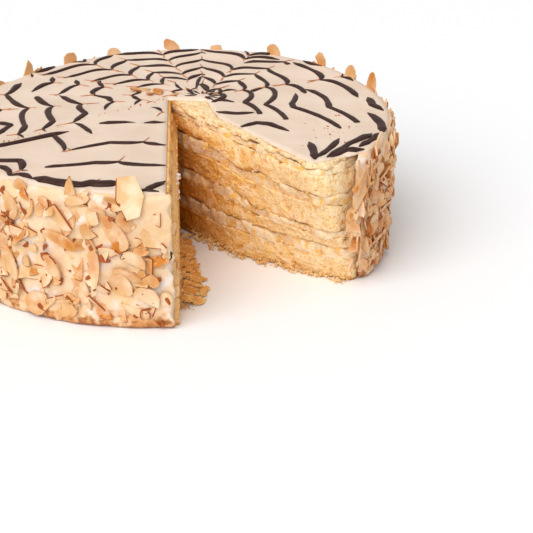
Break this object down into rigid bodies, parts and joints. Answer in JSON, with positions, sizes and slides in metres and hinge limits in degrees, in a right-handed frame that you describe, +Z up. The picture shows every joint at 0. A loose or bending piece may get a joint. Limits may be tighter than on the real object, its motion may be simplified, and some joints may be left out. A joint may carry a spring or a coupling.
{
  "type": "esterhazy torte",
  "caption": "Round layered nut torte with one wedge cut out, ivory icing with a dragged web of dark lines, and flaked almonds round the side.",
  "frame": {"origin": "middle of the torte's box, on the flat underside that it rests on", "axes": "+Z up, through the layers; the cut wedge opens towards -Y"},
  "size_m": [0.239, 0.2477, 0.08],
  "materials": {
    "sponge": "dry crumbly cut sponge",
    "nut_cream": "soft granular nut cream",
    "icing": "smooth icing with a low sheen and raised dark lines",
    "almond_coat": "pale cream with flaked almonds in it"
  },
  "bodies": {
    "root": {"sponge_1": "sponge", "cream_1": "nut_cream", "sponge_2": "sponge", "cream_2": "nut_cream", "sponge_3": "sponge", "cream_3": "nut_cream", "sponge_4": "sponge", "cream_4": "nut_cream", "sponge_5": "sponge", "top_icing": "icing", "side_coat": "almond_coat"}
  },
  "joints": []
}
